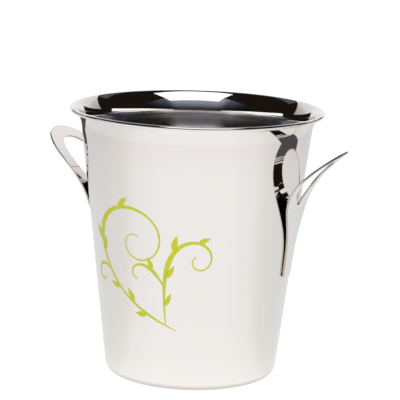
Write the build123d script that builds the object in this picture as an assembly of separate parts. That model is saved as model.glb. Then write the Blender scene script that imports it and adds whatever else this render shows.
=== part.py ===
from build123d import *
import os
from math import acos, atan, cos, degrees, radians, sin, tan

# Champagne bucket in polished steel: one drawn shell with two plate handles brazed to its wall.
# Millimetres. +Z is up, the origin is the centre of the base where it rests, and the handles lie on +X and -X.

# Shell, drawn from one disc of sheet.
RIM_DIAMETER = 200.0
HEIGHT = 212.0
SHEET = 1.0
BEAD_RADIUS = 1.7
BASE_RADIUS = 67.5
BASE_CORNER_RADIUS = 8.0
WALL_START = (69.0, 12.0)
WALL_STATIONS = [(74.36, 57.0), (79.93, 106.0), (86.07, 159.0), (89.1, 183.0)]
NECK = (90.67, 196.0)
NECK_LEAN = 6.05
PANEL_RADIUS = 52.0
PANEL_RISE = 2.0
PANEL_STEP = 4.0
PANEL_BEND_RADIUS = 2.0

# Handle blank, cut flat from plate. Lengths run from the foot of the stem.
PLATE = 1.5
RING_CENTRE = 84.8
RING_RADIUS = 33.0
HOLE_RADIUS = 20.3
HOLE_BOTTOM = 58.0
FOOT_HALF_WIDTH = 7.7
FOOT_CORNER_RADIUS = 2.0
STEM_STATIONS = [(9.1, 18.0), (13.4, 36.0), (25.2, 59.4)]
HOLE_POINT_RADIUS = 6.0
HOLE_POINT_TURN = 45.0
HOLE_STATION = (16.4, 71.4)

# Bending the blank: straight along the wall, one firm bend, then a slow curve out to the tip.
FOOT_HEIGHT = 85.4
STRAIGHT_LENGTH = 52.0
BEND_RADIUS = 52.0
BEND_TURN = 39.2
REACH_TURN = 9.7
OUTLINE_STEP = 6.0

# Filler metal between the flat stem and the round wall.
BRAZE_GAP = 0.25
BRAZE_INSET = 1.5
BRAZE_LENGTH = 44.0
BRAZE_DEPTH = 4.0

BEAD_CENTRE = Vector(RIM_DIAMETER / 2 - BEAD_RADIUS, HEIGHT - BEAD_RADIUS)


def base_line(inset):
    """Base and foot of the wall, kept `inset` deep from the outer surface."""
    corners = [
        Vector(0, PANEL_RISE),
        Vector(PANEL_RADIUS, PANEL_RISE),
        Vector(PANEL_RADIUS + PANEL_STEP, 0),
        Vector(BASE_RADIUS, 0),
        Vector(*WALL_START),
    ]
    runs = [(after - before).normalized() for before, after in zip(corners, corners[1:])]
    sides = [Vector(-run.Y, run.X) for run in runs]
    mitres = [(one + other) / (1 + one.dot(other)) for one, other in zip(sides, sides[1:])]
    shifts = [sides[0], *mitres, sides[-1]]
    radii = [PANEL_BEND_RADIUS + inset, PANEL_BEND_RADIUS - inset, BASE_CORNER_RADIUS - inset]
    return FilletPolyline(*[corner + shift * inset for corner, shift in zip(corners, shifts)], radius=radii)


def direction(lean):
    """Unit vector that leans outward from upright by an angle in degrees."""
    return Vector(sin(radians(lean)), cos(radians(lean)))


def flare_ends():
    """Where the two faces of the flared sheet meet the rolled bead: the inner face runs smoothly onto its top."""
    run = direction(NECK_LEAN)
    across = Vector(run.Y, -run.X)
    from_bead = Vector(*NECK) - across * SHEET - BEAD_CENTRE
    radius = (BEAD_RADIUS**2 - from_bead.length**2) / (2 * (across.dot(from_bead) + BEAD_RADIUS))
    centre = Vector(*NECK) + across * (radius - SHEET)
    to_bead = (BEAD_CENTRE - centre).normalized()
    reach, outer_radius = radius - BEAD_RADIUS, radius - SHEET
    turn = acos((outer_radius**2 + reach**2 - BEAD_RADIUS**2) / (2 * outer_radius * reach))
    outer_end = centre + to_bead.rotate(Axis.Z, degrees(turn)) * outer_radius
    return outer_end, BEAD_CENTRE + to_bead * BEAD_RADIUS


def pushed_in(curve, position):
    """Point on the sheet's inner surface opposite a position on its outer curve."""
    run = curve % position
    return curve @ position + Vector(-run.Y, run.X) * SHEET


def outer_curves():
    """Outside of the shell in the XZ plane: the base from the axis out, the wall, and the flare up to the bead."""
    base = base_line(0)
    wall = Spline(WALL_START, *WALL_STATIONS, NECK, tangents=[base % 1, direction(NECK_LEAN)])
    flare = TangentArc(NECK, flare_ends()[0], tangent=wall % 1)
    return base, wall, flare


def shell_section(base, wall, flare):
    """Cut through the sheet on one side of the axis, closed at the top by the rolled bead."""
    inner_base = base_line(SHEET)
    inner_wall = Spline(*[pushed_in(wall, step / 5) for step in range(6)], tangents=[wall % 0, wall % 1])
    inner_flare = TangentArc(inner_wall @ 1, flare_ends()[1], tangent=wall % 1)
    bead_side = BEAD_CENTRE + Vector(BEAD_RADIUS, 0)
    bead_under = ThreePointArc(flare @ 1, BEAD_CENTRE - Vector(0, BEAD_RADIUS), bead_side)
    bead_over = ThreePointArc(bead_side, BEAD_CENTRE + Vector(0, BEAD_RADIUS), inner_flare @ 1)
    middle = Line(inner_base @ 0, base @ 0)
    outline = [base, wall, flare, bead_under, bead_over, inner_flare, inner_wall, inner_base, middle]
    return make_face(Curve() + outline)


def bend_path():
    """Inner face of the bent handle seen edge-on, in a plane of radius against height."""
    lean = atan((WALL_STATIONS[1][0] - WALL_STATIONS[0][0]) / (WALL_STATIONS[1][1] - WALL_STATIONS[0][1]))
    wall_radius = WALL_STATIONS[0][0] + (FOOT_HEIGHT - WALL_STATIONS[0][1]) * tan(lean)
    foot = (wall_radius + BRAZE_GAP, FOOT_HEIGHT)
    straight = PolarLine(foot, STRAIGHT_LENGTH, 90 - degrees(lean))
    bend = JernArc(straight @ 1, straight % 1, BEND_RADIUS, -BEND_TURN)
    reach_length = RING_CENTRE + RING_RADIUS - STRAIGHT_LENGTH - bend.length
    reach_radius = reach_length / radians(REACH_TURN)
    reach = JernArc(bend @ 1, bend % 1, reach_radius, -REACH_TURN)
    return Wire([straight.edge(), bend.edge(), reach.edge()])


def blank_outline():
    """Outer edge of the flat blank: a stem that widens in a slow S into the ring."""
    foot = FilletPolyline(
        (0, 0),
        (FOOT_HALF_WIDTH, 0),
        STEM_STATIONS[0],
        radius=FOOT_CORNER_RADIUS,
    )
    stem = Spline(
        STEM_STATIONS[0],
        *STEM_STATIONS[1:],
        (RING_RADIUS, RING_CENTRE),
        tangents=[foot % 1, (0, 1)],
    )
    ring = JernArc((RING_RADIUS, RING_CENTRE), (0, 1), RING_RADIUS, 90)
    return [*foot.edges(), stem.edge(), ring.edge()]


def hole_outline():
    """Edge of the finger hole: a round top that draws in to a small round point above the stem."""
    point = JernArc((0, HOLE_BOTTOM), (1, 0), HOLE_POINT_RADIUS, HOLE_POINT_TURN)
    side = Spline(point @ 1, HOLE_STATION, (HOLE_RADIUS, RING_CENTRE), tangents=[point % 1, (0, 1)])
    top = JernArc((HOLE_RADIUS, RING_CENTRE), (0, 1), HOLE_RADIUS, 90)
    return [point.edge(), side.edge(), top.edge()]


def front_view(edges, path):
    """Face inside one half-outline of the blank and its mirror image, as it looks from the front once bent."""
    bent = []
    for edge in edges:
        steps = 2 + int(edge.length / OUTLINE_STEP)
        flat = [edge @ (i / steps) for i in range(steps + 1)]
        heights = [path.position_at(point.Y, position_mode=PositionMode.LENGTH).Y for point in flat]
        bent.append(Spline(*[(point.X, height) for point, height in zip(flat, heights)]))
    half = Curve() + bent
    return make_face(half + mirror(half, about=Plane.YZ))


def turned(section):
    """A section spun about the bucket's axis, with the seam of its faces on +Y, clear of both handles."""
    return Rot(0, 0, 90) * revolve(Plane.XZ * section, Axis.Z)


def bulk_section(wall):
    """Everything inside the outer surface of the wall, for trimming what meets it."""
    bottom, top = wall @ 0, wall @ 1
    inward = Polyline(top, (0, top.Y), (0, bottom.Y), bottom)
    return make_face(Curve() + [wall, inward])


def handle(path):
    """The +X handle: the blank bent along its path, with every cut edge square to the plate."""
    front = front_view(blank_outline(), path) - front_view(hole_outline(), path)
    cutter = extrude(Plane.YZ * front, RIM_DIAMETER)
    width = 2 * RING_RADIUS + PLATE
    edge_on = (Plane.XZ * path).moved(Pos(0, -width / 2, 0))
    inner_face = Shell.extrude(edge_on, (0, width, 0)) & cutter
    return Solid.thicken(Shell(inner_face.faces()), PLATE)


def braze(path, bulk):
    """Filler metal behind the +X stem: flat against the plate, hollowed to the wall, thickest along its sides."""
    foot, run = path @ 0, path % 0
    stem_face = Plane(origin=(foot.X, 0, foot.Y), x_dir=(0, -1, 0), z_dir=(-run.Y, 0, run.X))
    half_width = FOOT_HALF_WIDTH - BRAZE_INSET
    strip = Pos(0, BRAZE_INSET + BRAZE_LENGTH / 2) * RectangleRounded(2 * half_width, BRAZE_LENGTH, half_width / 2)
    return extrude(stem_face * strip, BRAZE_DEPTH) - bulk


def opposite(piece):
    """The same piece on the -X side of the bucket."""
    return Rot(0, 0, 180) * piece


shell_curves = outer_curves()
path = bend_path()
right_handle = handle(path)
right_braze = braze(path, turned(bulk_section(shell_curves[1])))

pieces = {
    "bucket_shell": turned(shell_section(*shell_curves)),
    "right_handle": right_handle,
    "left_handle": opposite(right_handle),
    "right_handle_braze": right_braze,
    "left_handle_braze": opposite(right_braze),
}

os.makedirs("parts", exist_ok=True)
for name, piece in pieces.items():
    export_step(piece, f"parts/{name}.step")
    size = piece.bounding_box().size
    print(f"{name}: {len(piece.solids())} solid, {piece.volume:.0f} mm3, {size.X:.1f} x {size.Y:.1f} x {size.Z:.1f}")
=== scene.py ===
"""Champagne bucket: a mirror-polished steel shell, two bent ring handles and a printed leaf scroll."""
import math
import bpy
import numpy as np
from mathutils import Matrix, Vector


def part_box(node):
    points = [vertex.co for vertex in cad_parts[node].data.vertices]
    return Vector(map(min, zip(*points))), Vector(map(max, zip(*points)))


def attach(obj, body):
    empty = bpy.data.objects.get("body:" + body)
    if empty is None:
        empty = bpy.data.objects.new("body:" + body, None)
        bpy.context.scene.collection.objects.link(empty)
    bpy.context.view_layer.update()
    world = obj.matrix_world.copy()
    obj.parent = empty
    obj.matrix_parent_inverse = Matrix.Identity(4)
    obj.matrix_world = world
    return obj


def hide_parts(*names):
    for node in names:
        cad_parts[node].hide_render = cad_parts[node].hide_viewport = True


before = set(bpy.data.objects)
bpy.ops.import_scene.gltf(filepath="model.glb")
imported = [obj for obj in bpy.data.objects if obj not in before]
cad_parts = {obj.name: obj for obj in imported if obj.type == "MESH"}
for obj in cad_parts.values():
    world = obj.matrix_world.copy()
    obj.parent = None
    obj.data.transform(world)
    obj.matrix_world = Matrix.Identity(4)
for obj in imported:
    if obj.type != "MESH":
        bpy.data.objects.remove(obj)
bpy.context.view_layer.update()

MM = 0.001

# ---------------------------------------------------------------- sizes, in millimetres
# Shell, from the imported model's own box where it can be read from there.
shell_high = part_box("bucket_shell")[1]
RIM_RADIUS = shell_high.x / MM
HEIGHT = shell_high.z / MM
SHEET = 1.0
BEAD_RADIUS = 1.7
WALL_STATIONS = [(69.0, 12.0), (74.36, 57.0), (79.93, 106.0), (86.07, 159.0), (89.1, 183.0), (90.67, 196.0)]
NECK_LEAN = math.radians(6.05)
BASE_CORNERS = [(0, 2), (52, 2), (56, 0), (67.5, 0), (69, 12)]
BASE_RADII = [2, 2, 8]

# Handle blank, with lengths run from the foot of its stem. Stations are (length, half-width).
PLATE = 1.5
RING_CENTRE = 84.8
RING_RADIUS = 33.0
HOLE_RADIUS = 20.3
HOLE_BOTTOM = 58.0
HOLE_POINT_RADIUS = 6.0
HOLE_POINT_TURN = math.radians(45)
HOLE_STATION = (71.4, 16.4)
FOOT_HALF_WIDTH = 7.7
FOOT_CORNER = 2.0
STEM_STATIONS = [(18, 9.1), (36, 13.4), (59.4, 25.2)]
EDGE_ROUNDING = 0.35

# Bends that shape the blank: straight along the wall, one firm bend, then a slow curve out to the tip.
FOOT_HEIGHT = 85.4
BRAZE_GAP = 0.25
STRAIGHT_LENGTH = 52.0
BEND_RADIUS = 52.0
BEND_TURN = math.radians(39.2)
REACH_TURN = math.radians(9.7)


def smooth_curve(points, first_slope, last_slope):
    """Curve y(x) through (x, y) points with set end slopes and no kinks, as a draughtsman's spline."""
    x, y = np.array(points, float).T
    gaps, rises = np.diff(x), np.diff(y)
    system = np.eye(len(x))
    right = np.array([first_slope, *[0.0] * (len(x) - 2), last_slope])
    for i in range(1, len(x) - 1):
        before, after = gaps[i - 1], gaps[i]
        system[i, i - 1 : i + 2] = after, 2 * (before + after), before
        right[i] = 3 * (after * rises[i - 1] / before + before * rises[i] / after)
    slopes = np.linalg.solve(system, right)

    def value(at):
        i = min(max(int(np.searchsorted(x, at)) - 1, 0), len(gaps) - 1)
        t = (at - x[i]) / gaps[i]
        level = y[i] + rises[i] * t * t * (3 - 2 * t)
        return float(level + gaps[i] * t * (1 - t) * (slopes[i] * (1 - t) - slopes[i + 1] * t))

    return value


# ---------------------------------------------------------------- shell
foot_slope = (BASE_CORNERS[-1][0] - BASE_CORNERS[-2][0]) / (BASE_CORNERS[-1][1] - BASE_CORNERS[-2][1])
wall_radius = smooth_curve([(z, r) for r, z in WALL_STATIONS], foot_slope, math.tan(NECK_LEAN))


def rounded(corners, radii, turn_step=math.radians(6)):
    """A run of corners in the plane with each inner corner rounded to its radius."""
    points = [Vector(corners[0])]
    for before, corner, after, radius in zip(corners, corners[1:], corners[2:], radii):
        into = (Vector(corner) - Vector(before)).normalized()
        out = (Vector(after) - Vector(corner)).normalized()
        turn = into.angle_signed(out) * -1
        reach = radius * math.tan(abs(turn) / 2)
        start = Vector(corner) - into * reach
        side = Vector((-into.y, into.x)) * math.copysign(1, turn)
        centre = start + side * radius
        steps = max(3, math.ceil(abs(turn) / turn_step))
        for step in range(steps + 1):
            spin = Matrix.Rotation(turn * step / steps, 2)
            points.append(centre + spin @ (start - centre))
    points.append(Vector(corners[-1]))
    return points


def tangent_arc(start, direction, end, steps):
    """Arc that leaves start along a direction and bends right to reach end, without its first point."""
    right = Vector((direction.y, -direction.x))
    chord = end - start
    radius = chord.length_squared / (2 * chord.dot(right))
    centre = start + right * radius
    turn = -2 * direction.angle(chord)
    spins = [Matrix.Rotation(turn * step / steps, 2) for step in range(1, steps + 1)]
    return [centre + spin @ (start - centre) for spin in spins]


def pushed_in(points, depth):
    """A run of points moved to its left by a depth."""
    moved = []
    for index, point in enumerate(points):
        before = points[max(index - 1, 0)]
        after = points[min(index + 1, len(points) - 1)]
        run = (after - before).normalized()
        moved.append(point + Vector((-run.y, run.x)) * depth)
    return moved


def shell_profile():
    """Closed half-section of the sheet, from the axis under the base round the bead and back to the axis."""
    base = rounded(BASE_CORNERS, BASE_RADII)
    low, neck = WALL_STATIONS[0][1], WALL_STATIONS[-1][1]
    wall = [Vector((wall_radius(z), z)) for z in np.linspace(low, neck, 80)[1:]]
    run = Vector((math.sin(NECK_LEAN), math.cos(NECK_LEAN)))
    across = Vector((run.y, -run.x))
    bead = Vector((RIM_RADIUS - BEAD_RADIUS, HEIGHT - BEAD_RADIUS))
    inner_neck = wall[-1] - across * SHEET
    from_bead = inner_neck - bead
    radius = (BEAD_RADIUS**2 - from_bead.length_squared) / (2 * (across.dot(from_bead) + BEAD_RADIUS))
    centre = inner_neck + across * radius
    to_bead = (bead - centre).normalized()
    reach, outer_radius = radius - BEAD_RADIUS, radius - SHEET
    turn = math.acos((outer_radius**2 + reach**2 - BEAD_RADIUS**2) / (2 * outer_radius * reach))
    outer_end = centre + Matrix.Rotation(turn, 2) @ to_bead * outer_radius
    inner_end = bead + to_bead * BEAD_RADIUS
    outer_flare = tangent_arc(wall[-1], run, outer_end, 24)
    inner_flare = tangent_arc(inner_neck, run, inner_end, 24)
    start = math.atan2(outer_end.y - bead.y, outer_end.x - bead.x)
    sweep = (math.atan2(to_bead.y, to_bead.x) - start) % (2 * math.pi)
    angles = [start + sweep * step / 48 for step in range(1, 48)]
    roll = [bead + Vector((math.cos(a), math.sin(a))) * BEAD_RADIUS for a in angles]
    inside = pushed_in(base + wall, SHEET)
    inside[-1] = inner_neck
    return base + wall + outer_flare + roll + inner_flare[::-1] + inside[::-1], len(inside)


def new_mesh(name, vertices, faces):
    """Mesh object in metres from points in millimetres, smooth shaded with sharp creases kept."""
    mesh = bpy.data.meshes.new(name)
    mesh.from_pydata([Vector(v) * MM for v in vertices], [], faces)
    mesh.shade_smooth()
    mesh.set_sharp_from_angle(angle=math.radians(35))
    mesh.update()
    piece = bpy.data.objects.new(name, mesh)
    bpy.context.scene.collection.objects.link(piece)
    return piece


def turned(name, profile, inside_count, segments=320):
    """Solid of revolution about Z; the faces of its last inside_count points take the second material."""
    ring = profile[1:-1]
    vertices = [(0, 0, profile[0].y), (0, 0, profile[-1].y)]
    for step in range(segments):
        angle = 2 * math.pi * step / segments
        vertices += [(p.x * math.cos(angle), p.x * math.sin(angle), p.y) for p in ring]
    faces = []
    for step in range(segments):
        here = 2 + step * len(ring)
        there = 2 + (step + 1) % segments * len(ring)
        faces.append((0, there, here))
        faces += [(here + i, there + i, there + i + 1, here + i + 1) for i in range(len(ring) - 1)]
        faces.append((1, here + len(ring) - 1, there + len(ring) - 1))
    piece = new_mesh(name, vertices, faces)
    first_inside = len(ring) - inside_count + 1
    for face in piece.data.polygons:
        if (face.index % (len(ring) + 1)) > first_inside:
            face.material_index = 1
    return piece


# ---------------------------------------------------------------- handles
foot_length = STEM_STATIONS[0][0]
foot_taper = (STEM_STATIONS[0][1] - FOOT_HALF_WIDTH) / foot_length
stem_edge = smooth_curve([*STEM_STATIONS, (RING_CENTRE, RING_RADIUS)], foot_taper, 0)

point_end = HOLE_BOTTOM + HOLE_POINT_RADIUS * (1 - math.cos(HOLE_POINT_TURN))
point_half_width = HOLE_POINT_RADIUS * math.sin(HOLE_POINT_TURN)
hole_stations = [(point_end, point_half_width), HOLE_STATION, (RING_CENTRE, HOLE_RADIUS)]
hole_edge = smooth_curve(hole_stations, 1 / math.tan(HOLE_POINT_TURN), 0)


def round_end(radius, distance):
    """Half-width of a circle at a distance from its centre."""
    return math.sqrt(max(radius**2 - distance**2, 0))


def blank_half_width(s):
    """Half-width of the flat blank at a distance up from its foot."""
    if s > RING_CENTRE:
        return round_end(RING_RADIUS, s - RING_CENTRE)
    if s > foot_length:
        return stem_edge(s)
    straight = FOOT_HALF_WIDTH + foot_taper * s
    if s > FOOT_CORNER:
        return straight
    return straight - FOOT_CORNER + round_end(FOOT_CORNER, FOOT_CORNER - s)


def hole_half_width(s):
    """Half-width of the finger hole at a distance up from the foot, 0 outside it."""
    if s > RING_CENTRE:
        return round_end(HOLE_RADIUS, s - RING_CENTRE)
    if s > point_end:
        return hole_edge(s)
    return round_end(HOLE_POINT_RADIUS, HOLE_BOTTOM + HOLE_POINT_RADIUS - s)


def bend_at(s):
    """Radius, height and lean of the plate's inner face at a distance up from the foot."""
    (r0, z0), (r1, z1) = WALL_STATIONS[1:3]
    grade = (r1 - r0) / (z1 - z0)
    lean = math.atan(grade)
    straight_run = min(s, STRAIGHT_LENGTH)
    radius = r0 + (FOOT_HEIGHT - z0) * grade + BRAZE_GAP + straight_run * math.sin(lean)
    height = FOOT_HEIGHT + straight_run * math.cos(lean)
    bend_length = BEND_RADIUS * BEND_TURN
    reach_start = STRAIGHT_LENGTH + bend_length
    reach_radius = (RING_CENTRE + RING_RADIUS - reach_start) / REACH_TURN
    bend_run = min(max(s - STRAIGHT_LENGTH, 0), bend_length)
    reach_run = max(s - reach_start, 0)
    for arc_radius, run in ((BEND_RADIUS, bend_run), (reach_radius, reach_run)):
        leant = lean + run / arc_radius
        radius += arc_radius * (math.cos(lean) - math.cos(leant))
        height += arc_radius * (math.sin(leant) - math.sin(lean))
        lean = leant
    return radius, height, lean


def eased(start, end, steps):
    """Levels from start to end, crowded towards both, where a round outline turns fastest."""
    return [start + (end - start) * (1 - math.cos(math.pi * i / steps)) / 2 for i in range(steps + 1)]


def handle_plate(name, side):
    """One handle: straight rows across the blank, bent up and given the plate's thickness."""
    top, hole_top = RING_CENTRE + RING_RADIUS, RING_CENTRE + HOLE_RADIUS
    levels = eased(0, FOOT_CORNER, 5) + list(np.linspace(FOOT_CORNER, HOLE_BOTTOM, 40))
    levels += eased(HOLE_BOTTOM, hole_top, 56) + eased(hole_top, top, 20)
    levels = sorted({round(s, 4) for s in levels})
    columns = 8
    index, inner, outer = {}, [], []

    def vertex(s, t):
        key = (s, round(t, 4))
        if key not in index:
            radius, height, lean = bend_at(s)
            index[key] = len(inner)
            inner.append((side * radius, side * t, height))
            shift = (side * math.cos(lean) * PLATE, 0, -math.sin(lean) * PLATE)
            outer.append(tuple(a + b for a, b in zip(inner[-1], shift)))
        return index[key]

    faces = []
    for low, high in zip(levels, levels[1:]):
        for hand in (-1, 1):
            rows = []
            for s in (low, high):
                hole = hole_half_width(s) if HOLE_BOTTOM <= s <= hole_top else 0.0
                edge = blank_half_width(s)
                across = [hand * (hole + (edge - hole) * c / columns) for c in range(columns + 1)]
                rows.append([vertex(s, t) for t in across])
            for a, b, c, d in zip(rows[0], rows[0][1:], rows[1][1:], rows[1]):
                ring = [v for k, v in enumerate((a, b, c, d)) if v not in (a, b, c, d)[:k]]
                if len(ring) > 2:
                    faces.append(ring if hand < 0 else ring[::-1])
    count = len(inner)
    edges = [pair for face in faces for pair in zip(face, face[1:] + face[:1])]
    shared = set(edges)
    rim = [(b, a, a + count, b + count) for a, b in edges if (b, a) not in shared]
    back = [[v + count for v in reversed(face)] for face in faces]
    piece = new_mesh(name, inner + outer, faces + back + rim)
    for face in piece.data.polygons[len(faces) + len(back) :]:
        face.material_index = 1
    bevel = piece.modifiers.new("worn_edges", "BEVEL")
    bevel.width = EDGE_ROUNDING * MM
    bevel.segments = 3
    bevel.limit_method = "ANGLE"
    bevel.angle_limit = math.radians(50)
    bevel.harden_normals = True
    piece.modifiers.new("flat_faces", "WEIGHTED_NORMAL").keep_sharp = False
    return piece


# ---------------------------------------------------------------- materials
def linear(hex_colour):
    """sRGB hex to linear RGBA."""
    channels = [int(hex_colour[i : i + 2], 16) / 255 for i in (1, 3, 5)]
    return [c / 12.92 if c < 0.04045 else ((c + 0.055) / 1.055) ** 2.4 for c in channels] + [1.0]


def add(tree, kind, links=(), **settings):
    """Adds a node, sets its inputs (by name) or properties, and links (input name, output socket) pairs."""
    node = tree.nodes.new(kind)
    for name, value in settings.items():
        label = name.replace("_", " ")
        matches = [s for s in node.inputs if s.name.lower() == label.lower()]
        if hasattr(node, name):
            setattr(node, name, value)
        elif matches:
            matches[0].default_value = value
        else:
            raise KeyError(f"{kind} has no {name}")
    for name, socket in links:
        tree.links.new(socket, node.inputs[name])
    return node


def new_material(name):
    """Material with an empty node tree and its output node."""
    material = bpy.data.materials.new(name)
    material.use_nodes = True
    material.node_tree.nodes.clear()
    return material, material.node_tree, material.node_tree.nodes.new("ShaderNodeOutputMaterial")


def steel_shader(tree, output, colour, roughness, normal):
    """Bare metal whose haze and surface come from the given sockets."""
    links = [("Roughness", roughness), ("Normal", normal)]
    shader = add(tree, "ShaderNodeBsdfPrincipled", links, Base_Color=linear(colour), Metallic=1.0)
    tree.links.new(shader.outputs[0], output.inputs["Surface"])


def mirror_polished_steel():
    """Buffed sheet: a clear mirror with faint cloudy haze and the slow unevenness of pressed metal."""
    material, tree, output = new_material("mirror_polished_stainless_steel")
    place = add(tree, "ShaderNodeTexCoord").outputs["Object"]
    haze = add(tree, "ShaderNodeTexNoise", [("Vector", place)], Scale=30.0, Detail=4.0)
    polish = add(tree, "ShaderNodeMapRange", [("Value", haze.outputs["Fac"])], To_Min=0.02, To_Max=0.06)
    drift = add(tree, "ShaderNodeTexNoise", [("Vector", place)], Scale=14.0, Detail=1.0)
    sway = add(tree, "ShaderNodeBump", [("Height", drift.outputs["Fac"])], Strength=1.0, Distance=0.00002)
    steel_shader(tree, output, "#eeeae7", polish.outputs["Result"], sway.outputs["Normal"])
    return material


def spun_satin_steel():
    """Inside wall left as spun: fine rings round the axis blur the mirror into soft bands."""
    material, tree, output = new_material("spun_satin_stainless_steel")
    place = add(tree, "ShaderNodeTexCoord").outputs["Object"]
    stretch = add(tree, "ShaderNodeMapping", [("Vector", place)])
    stretch.inputs["Scale"].default_value = (6.0, 6.0, 1600.0)
    rings = add(tree, "ShaderNodeTexNoise", [("Vector", stretch.outputs[0])], Scale=1.0, Detail=3.0)
    haze = add(tree, "ShaderNodeMapRange", [("Value", rings.outputs["Fac"])], To_Min=0.05, To_Max=0.1)
    grooves = add(tree, "ShaderNodeBump", [("Height", rings.outputs["Fac"])], Strength=0.25, Distance=0.00002)
    steel_shader(tree, output, "#d9d8d9", haze.outputs["Result"], grooves.outputs["Normal"])
    return material


def linished_edge_steel():
    """Cut edges of the handles: belt-finished, so they read as soft warm grey beside the mirror faces."""
    material, tree, output = new_material("linished_edge_stainless_steel")
    place = add(tree, "ShaderNodeTexCoord").outputs["Object"]
    grit = add(tree, "ShaderNodeTexNoise", [("Vector", place)], Scale=1200.0, Detail=2.0)
    haze = add(tree, "ShaderNodeMapRange", [("Value", grit.outputs["Fac"])], To_Min=0.32, To_Max=0.5)
    lines = add(tree, "ShaderNodeBump", [("Height", grit.outputs["Fac"])], Strength=0.3, Distance=0.00003)
    steel_shader(tree, output, "#cfc6bc", haze.outputs["Result"], lines.outputs["Normal"])
    return material


def silver_braze():
    """Filler left as it flowed: a dull, slightly rippled silver-grey in the gap behind each stem."""
    material, tree, output = new_material("silver_braze_as_flowed")
    place = add(tree, "ShaderNodeTexCoord").outputs["Object"]
    ripple = add(tree, "ShaderNodeTexNoise", [("Vector", place)], Scale=700.0, Detail=3.0)
    haze = add(tree, "ShaderNodeMapRange", [("Value", ripple.outputs["Fac"])], To_Min=0.28, To_Max=0.48)
    skin = add(tree, "ShaderNodeBump", [("Height", ripple.outputs["Fac"])], Strength=0.5, Distance=0.0001)
    steel_shader(tree, output, "#bdb6aa", haze.outputs["Result"], skin.outputs["Normal"])
    return material


def lime_screen_ink():
    """Screen-printed lime ink: even matt colour with the slight mottling of ink laid through a mesh."""
    material, tree, output = new_material("screen_printed_lime_ink")
    place = add(tree, "ShaderNodeTexCoord").outputs["Object"]
    mottle = add(tree, "ShaderNodeTexNoise", [("Vector", place)], Scale=500.0, Detail=3.0)
    tone = add(tree, "ShaderNodeMix", [("Factor", mottle.outputs["Fac"])], data_type="RGBA")
    tone.inputs["A"].default_value = linear("#a3a71a")
    tone.inputs["B"].default_value = linear("#b0b426")
    film = add(tree, "ShaderNodeBump", [("Height", mottle.outputs["Fac"])], Strength=0.2, Distance=0.00002)
    links = [("Base Color", tone.outputs["Result"]), ("Normal", film.outputs["Normal"])]
    shader = add(tree, "ShaderNodeBsdfPrincipled", links, Roughness=0.5, Specular_IOR_Level=0.25)
    tree.links.new(shader.outputs[0], output.inputs["Surface"])
    return material


def emitter(name, colour, strength):
    """Even glow of a lamp's cover or a studio card."""
    material, tree, output = new_material(name)
    glow = add(tree, "ShaderNodeEmission", Color=linear(colour), Strength=strength)
    tree.links.new(glow.outputs[0], output.inputs["Surface"])
    return material


steel = mirror_polished_steel()
satin = spun_satin_steel()
edge = linished_edge_steel()
braze = silver_braze()

shell = turned("polished_shell", *shell_profile())
shell.data.materials.append(steel)
shell.data.materials.append(satin)
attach(shell, "root")
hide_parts("bucket_shell")

for side, node in ((1, "right_handle"), (-1, "left_handle")):
    plate = handle_plate(f"bent_{node}", side)
    plate.data.materials.append(steel)
    plate.data.materials.append(edge)
    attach(plate, "root")
    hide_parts(node)
    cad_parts[f"{node}_braze"].material_slots[0].material = braze

# ---------------------------------------------------------------- printed leaf scroll
PRINT_CLEARANCE = 0.02
INK_FILM = 0.05
PRINT_RADIUS = 80.0
PEN_STEP = 1.6
RIBBON_COLUMNS = 4
LEAF_ANGLE = 42
LEAF_CURL = 2.0
LEAF_STEPS = 12


def on_wall(across, height, lift):
    """Point of the outer wall, lifted off it: across is the distance round from the middle of the front."""
    radius = wall_radius(height)
    turn = across / PRINT_RADIUS - math.pi / 2
    return ((radius + lift) * math.cos(turn), (radius + lift) * math.sin(turn), height)


def tendril(start, heading, length, bends):
    """Pen line as (point, heading)s that turns as it grows, by bends in degrees per millimetre."""
    steps = max(12, int(length / PEN_STEP))
    at, heading, line = Vector(start), math.radians(heading), []
    for step in range(steps + 1):
        line.append((at.copy(), heading))
        bend = np.interp((step + 0.5) / steps, np.linspace(0, 1, len(bends)), bends)
        heading += math.radians(bend) * length / steps
        at += Vector((math.cos(heading), math.sin(heading))) * length / steps
    return line


def stroke(print_mesh, line, half_widths):
    """Adds a closed ink ribbon along a pen line, thick and thin like a nib's, that hugs the round wall."""
    vertices, faces = print_mesh
    base, last, columns = len(vertices), len(line) - 1, RIBBON_COLUMNS
    for index, (at, heading) in enumerate(line):
        half = float(np.interp(index / last, np.linspace(0, 1, len(half_widths)), half_widths))
        side = Vector((-math.sin(heading), math.cos(heading))) * half
        row = [at + side * (1 - 2 * column / columns) for column in range(columns + 1)]
        for lift, points in ((PRINT_CLEARANCE, row), (PRINT_CLEARANCE + INK_FILM, row[::-1])):
            vertices += [on_wall(point.x, point.y, lift) for point in points]
    loop = 2 * (columns + 1)
    for index in range(last):
        here, there = base + loop * index, base + loop * (index + 1)
        for one in range(loop):
            other = (one + 1) % loop
            faces.append((here + one, there + one, there + other, here + other))
    for first, turn in ((base, -1), (base + loop * last, 1)):
        for column in range(columns):
            under, over = first + column, first + loop - 1 - column
            faces.append((over, over - 1, under + 1, under)[::turn])


def grown(stem, share, turn):
    """Start and heading, in degrees, of a shoot that leaves a stem part-way along it."""
    at, heading = stem[int(share * (len(stem) - 1))]
    return at, math.degrees(heading) + turn


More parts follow.
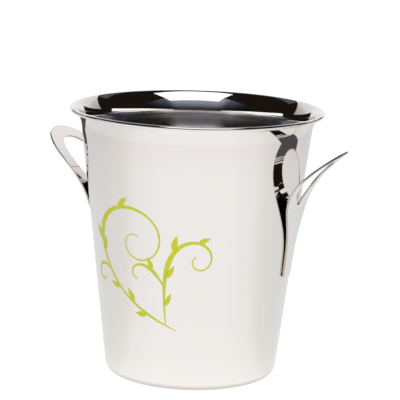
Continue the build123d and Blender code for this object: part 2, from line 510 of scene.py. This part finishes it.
def leaf_scroll():
    """Generic leafy scroll: one long volute, a second on the right, and two small side shoots."""
    print_mesh = ([], [])
    main = tendril((17, 50), 158, 250, [-0.1, -0.3, -0.6, -1.0, -2.3, -1.6, -2.2, -3.2, -4.0, -9.0])
    stroke(print_mesh, main, [0.3, 1.1, 0.8, 1.2, 2.4, 1.5, 0.8, 0.7, 0.6, 0.4])
    low = tendril(*grown(main, 0.30, 14), 40, [1.5, 5.0, 9.0, 15.0])
    stroke(print_mesh, low, [0.4, 1.3, 0.9, 0.5])
    right = tendril(*grown(main, 0.04, -62), 128, [-0.1, -0.3, -1.2, -3.6, -5.4, -12.0])
    stroke(print_mesh, right, [0.4, 1.1, 2.1, 1.2, 0.7, 0.5])
    inner = tendril(*grown(right, 0.24, 30), 46, [0.6, 2.0, 6.0, 14.0])
    stroke(print_mesh, inner, [0.4, 1.6, 0.9, 0.5])
    for stem, share, side, length, width in (
        (main, 0.11, 1, 12, 2.1),
        (main, 0.17, -1, 13, 2.2),
        (main, 0.24, 1, 12, 2.1),
        (main, 0.37, -1, 12, 2.2),
        (main, 0.40, 1, 14, 2.5),
        (main, 0.56, 1, 13, 2.3),
        (right, 0.13, -1, 12, 2.0),
        (right, 0.30, -1, 13, 2.2),
        (right, 0.48, 1, 14, 2.4),
        (right, 0.64, 1, 10, 1.9),
        (inner, 0.38, -1, 11, 1.9),
    ):
        vein = tendril(*grown(stem, share, side * LEAF_ANGLE), length, [-side * LEAF_CURL])
        along = [i / LEAF_STEPS for i in range(LEAF_STEPS + 1)]
        stroke(print_mesh, vein, [width * math.sin(math.pi * part**0.75) + 0.05 for part in along])
    return print_mesh


scroll = new_mesh("printed_leaf_scroll", *leaf_scroll())
scroll.data.materials.append(lime_screen_ink())
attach(scroll, "root")

# ---------------------------------------------------------------- studio
# Distances and heights in metres.
VIEW_AZIMUTH = math.radians(21.2)
EYE_LEVEL = 0.2
FLOOR_HALF = 12.0
TABLETOP_PAINTED_FALLOFF = 0.72
BLACKOUT_DISTANCE = 4.0
CEILING_DISTANCE = 3.9
ROOM_DISTANCE = 3.8
ROOM_DIMMING = 2.8
BOARD_DISTANCE = 3.6
STRIP_DISTANCE = 3.0
SOFTBOX_HEIGHT = 1.0
towards_camera = Vector((math.sin(VIEW_AZIMUTH), -math.cos(VIEW_AZIMUTH), 0))
camera_right = Vector((math.cos(VIEW_AZIMUTH), math.sin(VIEW_AZIMUTH), 0))


def stage_mesh(name, vertices, faces, material):
    """Studio piece from points in metres: to the camera's right, away from the camera, and up."""
    mesh = bpy.data.meshes.new(name)
    mesh.from_pydata(vertices, [], faces)
    piece = bpy.data.objects.new(name, mesh)
    piece.rotation_euler.z = VIEW_AZIMUTH
    bpy.context.scene.collection.objects.link(piece)
    mesh.materials.append(material)
    return piece


def only_in_reflections(piece):
    """Hides a card from everything except what polished steel mirrors."""
    piece.visible_camera = False
    piece.visible_diffuse = False
    piece.visible_shadow = False


def card(name, corners, material):
    """Flat card with corners given as (right, away, up) in metres."""
    only_in_reflections(stage_mesh(name, corners, [tuple(range(len(corners)))], material))


def curved_card(name, columns, distance, material):
    """Card curved round the bucket from (bearing, low, high)s in degrees: 0 is behind, + is right."""
    bearings = [c[0] for c in columns]
    steps = np.linspace(bearings[0], bearings[-1], 2 + int((bearings[-1] - bearings[0]) / 2))
    rows, vertices, faces = 16, [], []
    for bearing in steps:
        low = math.radians(np.interp(bearing, bearings, [c[1] for c in columns]))
        high = math.radians(np.interp(bearing, bearings, [c[2] for c in columns]))
        turn = math.radians(bearing)
        for lift in np.linspace(low, high, rows + 1):
            flat = distance * math.cos(lift)
            up = EYE_LEVEL + distance * math.sin(lift)
            vertices.append((flat * math.sin(turn), flat * math.cos(turn), up))
    for column in range(len(steps) - 1):
        here, there = column * (rows + 1), (column + 1) * (rows + 1)
        faces += [(here + r, there + r, there + r + 1, here + r + 1) for r in range(rows)]
    only_in_reflections(stage_mesh(name, vertices, faces, material))


def product(tree, one, other):
    """Two colours multiplied."""
    both = add(tree, "ShaderNodeMix", data_type="RGBA", blend_type="MULTIPLY")
    both.inputs["Factor"].default_value = 1.0
    tree.links.new(one, both.inputs["A"])
    tree.links.new(other, both.inputs["B"])
    return both.outputs["Result"]


def tone_ramp(tree, value, low, high, stops):
    """Colour along a value between low and high: hex colours with the positions of the later ones between."""
    spread = add(tree, "ShaderNodeMapRange", [("Value", value)], From_Min=low, From_Max=high)
    ramp = add(tree, "ShaderNodeValToRGB", [("Fac", spread.outputs["Result"])])
    ramp.color_ramp.interpolation = "EASE"
    steps = ramp.color_ramp.elements
    steps[0].position, steps[0].color = 0.0, linear(stops[0])
    steps[1].position, steps[1].color = stops[-2], linear(stops[-1])
    for position, colour in zip(stops[1:-2:2], stops[2:-2:2]):
        steps.new(position).color = linear(colour)
    return ramp.outputs["Color"]


def floor():
    """White floor the camera sees, and the tabletop the steel mirrors, which carries painted light: a painted
    contact shadow under the bucket, painted shade round to the back and sides, and a painted falloff with
    distance.
    """
    material, tree, output = new_material("matt_white_sweep")
    glow = add(tree, "ShaderNodeEmission", Color=linear("#ffffff"), Strength=0.88)
    paint = add(tree, "ShaderNodeBsdfDiffuse", Color=linear("#808080"))
    both = add(tree, "ShaderNodeAddShader")
    tree.links.new(glow.outputs[0], both.inputs[0])
    tree.links.new(paint.outputs[0], both.inputs[1])
    tree.links.new(both.outputs[0], output.inputs["Surface"])
    square = [(x * FLOOR_HALF, y * FLOOR_HALF, 0) for x, y in ((-1, -1), (1, -1), (1, 1), (-1, 1))]
    seen = stage_mesh("floor", square, [(0, 1, 2, 3)], material)
    seen.visible_glossy = False
    material, tree, output = new_material("tabletop_seen_in_steel")
    place = add(tree, "ShaderNodeTexCoord").outputs["Object"]
    far = add(tree, "ShaderNodeVectorMath", [(0, place)], operation="LENGTH").outputs["Value"]
    away = add(tree, "ShaderNodeSeparateXYZ", [("Vector", place)]).outputs["Y"]
    glow = add(tree, "ShaderNodeEmission", Strength=1.065)
    # Painted contact shadow: the tabletop is darker in a ring right under the bucket, where the base meets
    # the floor.
    painted_contact_shadow = ["#dcd7d3", 0.09, "#dcd7d3", 0.1, "#ffffff"]
    # Painted falloff: the tabletop dims further out from the bucket, out to TABLETOP_PAINTED_FALLOFF metres.
    painted_falloff_outward = [0.17, "#fbfbfb", 0.27, "#f8f8f8", 0.62, "#f7f7f7", 0.8, "#f3f2f2", 1.0, "#ecebed"]
    painted_shadow_and_falloff = tone_ramp(tree, far, 0.0, TABLETOP_PAINTED_FALLOFF, painted_contact_shadow + painted_falloff_outward)
    # Painted shade: the tabletop is darker round to the back and sides of the bucket, away from the front.
    behind = add(tree, "ShaderNodeMath", [(0, away), (1, far)], operation="DIVIDE").outputs[0]
    painted_shade_round_to_back = ["#ffffff", 0.1, "#ffffff", 0.36, "#fafafa", 0.69, "#ededec", 1.0, "#e8e9e9"]
    shade = tone_ramp(tree, behind, -1.0, 0.2, painted_shade_round_to_back)
    tree.links.new(product(tree, painted_shadow_and_falloff, shade), glow.inputs["Color"])
    tree.links.new(glow.outputs[0], output.inputs["Surface"])
    only_in_reflections(stage_mesh("tabletop", square, [(0, 1, 2, 3)], material))


def graded(name, low_colour, high_colour, low, high):
    """Card that glows from one colour to another between two heights, and dims to its sides."""
    material, tree, output = new_material(name)
    place = add(tree, "ShaderNodeTexCoord").outputs["Object"]
    split = add(tree, "ShaderNodeSeparateXYZ", [("Vector", place)])
    aside = add(tree, "ShaderNodeMath", [(0, split.outputs["X"])], operation="ABSOLUTE").outputs[0]
    side_tones = ["#ffffff", 0.44, "#ffffff", 0.68, "#828282", 1.0, "#484848"]
    dimming = tone_ramp(tree, aside, 0.0, ROOM_DIMMING, side_tones)
    rise = add(tree, "ShaderNodeMapRange", [("Value", split.outputs["Z"])], From_Min=low, From_Max=high)
    tone = add(tree, "ShaderNodeMix", [("Factor", rise.outputs["Result"])], data_type="RGBA")
    tone.inputs["A"].default_value = linear(low_colour)
    tone.inputs["B"].default_value = linear(high_colour)
    dimmed = product(tree, tone.outputs["Result"], dimming)
    glow = add(tree, "ShaderNodeEmission", [("Color", dimmed)], Strength=1.0)
    tree.links.new(glow.outputs[0], output.inputs["Surface"])
    return material


def side_graded(name, distance, stops):
    """Glowing card graded by how far it lies to either side."""
    material, tree, output = new_material(name)
    place = add(tree, "ShaderNodeTexCoord").outputs["Object"]
    across = add(tree, "ShaderNodeSeparateXYZ", [("Vector", place)]).outputs["X"]
    aside = add(tree, "ShaderNodeMath", [(0, across)], operation="ABSOLUTE").outputs[0]
    tone = tone_ramp(tree, aside, 0.0, distance, stops)
    glow = add(tree, "ShaderNodeEmission", [("Color", tone)], Strength=1.0)
    tree.links.new(glow.outputs[0], output.inputs["Surface"])
    return material


floor()
velvet = emitter("black_velvet", "#1c1612", 1.0)
curved_card("blackout", [(-180, 0, 90), (180, 0, 90)], BLACKOUT_DISTANCE, velvet)
room = graded("blue_grey_room", "#38363d", "#9aa4b2", EYE_LEVEL + 0.9, EYE_LEVEL + 2.6)
curved_card("room_left", [(-180, 0, 52), (-140, 0, 52), (-122, 0, 30)], ROOM_DISTANCE, room)
curved_card("room_right", [(122, 0, 30), (140, 0, 52), (180, 0, 52)], ROOM_DISTANCE, room)
ceiling = emitter("dim_ceiling", "#55545b", 1.0)
curved_card("room_behind", [(-60, 36, 92), (60, 36, 92)], CEILING_DISTANCE, ceiling)

# Painted falloff: the backboard is white in the middle and dims to grey towards its sides.
painted_falloff_board_tones = ["#f8f8fa", 0.3, "#f4f4f4", 0.55, "#e6e5e4", 0.7, "#c2c0c0", 0.85, "#a5a3a4"]
board = side_graded("white_backboard_painted_side_falloff", BOARD_DISTANCE, painted_falloff_board_tones)
board_outline = [(-62, 13, 14), (-52, 13, 27), (-40, 13, 38), (40, 13, 38), (52, 13, 27), (62, 13, 14)]
curved_card("backboard", board_outline, BOARD_DISTANCE, board)
curved_card("backboard_foot", [(-28, -0.5, 13), (28, -0.5, 13)], BOARD_DISTANCE, board)

strip = emitter("low_strip_lamp", "#ffffff", 1.2)
curved_card("strip_left", [(-155, 6, 7), (-125, 6, 11), (-80, 7, 14)], STRIP_DISTANCE, strip)
curved_card("strip_right", [(80, 7, 14), (125, 6, 11), (155, 6, 7)], STRIP_DISTANCE, strip)

softbox_outline = [(-0.265, -0.03), (0.36, -0.03), (0.49, -0.74), (-0.36, -0.74)]
softbox_corners = [(right, away, SOFTBOX_HEIGHT) for right, away in softbox_outline]
card("softbox", softbox_corners, emitter("softbox_diffuser", "#ffffff", 1.4))


def area_light(name, place, target, size, power):
    """Soft square lamp aimed at a point, lighting matt surfaces and kept out of the steel's reflections."""
    data = bpy.data.lights.new(name, "AREA")
    data.shape = "SQUARE"
    data.size = size
    data.energy = power
    lamp = bpy.data.objects.new(name, data)
    bpy.context.scene.collection.objects.link(lamp)
    lamp.location = place
    lamp.rotation_euler = (Vector(target) - Vector(place)).to_track_quat("-Z", "Y").to_euler()
    lamp.visible_glossy = False


low_middle = (0, 0, 0.1)
area_light("overhead_fill", Vector((0, 0, 2.2)) + towards_camera * 0.4, low_middle, 1.6, 19)
area_light("front_fill", Vector((0, 0, 0.6)) + towards_camera * 2.2, low_middle, 1.6, 20)

world = bpy.data.worlds.new("white_cove")
world.use_nodes = True
backdrop = world.node_tree.nodes["Background"]
backdrop.inputs["Color"].default_value = linear("#ffffff")
backdrop.inputs["Strength"].default_value = 1.0
bpy.context.scene.world = world

# ---------------------------------------------------------------- camera
# Metres, radians, and the lens in millimetres on a 36 mm sensor.
CAMERA_DISTANCE = 1.481
CAMERA_HEIGHT = 0.433
CAMERA_PITCH = 0.1965
CAMERA_PAN = 0.0028
CAMERA_ROLL = 0.0297
LENS = 171.4


def camera():
    """Long lens from a little above the rim, turned slightly on its axis."""
    data = bpy.data.cameras.new("camera")
    data.lens = LENS
    data.sensor_width = 36.0
    data.clip_end = 60.0
    eye = bpy.data.objects.new("camera", data)
    bpy.context.scene.collection.objects.link(eye)
    level = (-towards_camera * math.cos(CAMERA_PAN) + camera_right * math.sin(CAMERA_PAN)).normalized()
    forward = level * math.cos(CAMERA_PITCH) - Vector((0, 0, math.sin(CAMERA_PITCH)))
    right = forward.cross(Vector((0, 0, 1))).normalized()
    up = right.cross(forward)
    rolled_right = right * math.cos(CAMERA_ROLL) + up * math.sin(CAMERA_ROLL)
    rolled_up = up * math.cos(CAMERA_ROLL) - right * math.sin(CAMERA_ROLL)
    place = towards_camera * CAMERA_DISTANCE + Vector((0, 0, CAMERA_HEIGHT))
    axes = Matrix((rolled_right, rolled_up, -forward)).transposed().to_4x4()
    eye.matrix_world = Matrix.Translation(place) @ axes
    bpy.context.scene.camera = eye


camera()
bpy.context.scene.view_settings.view_transform = "Standard"
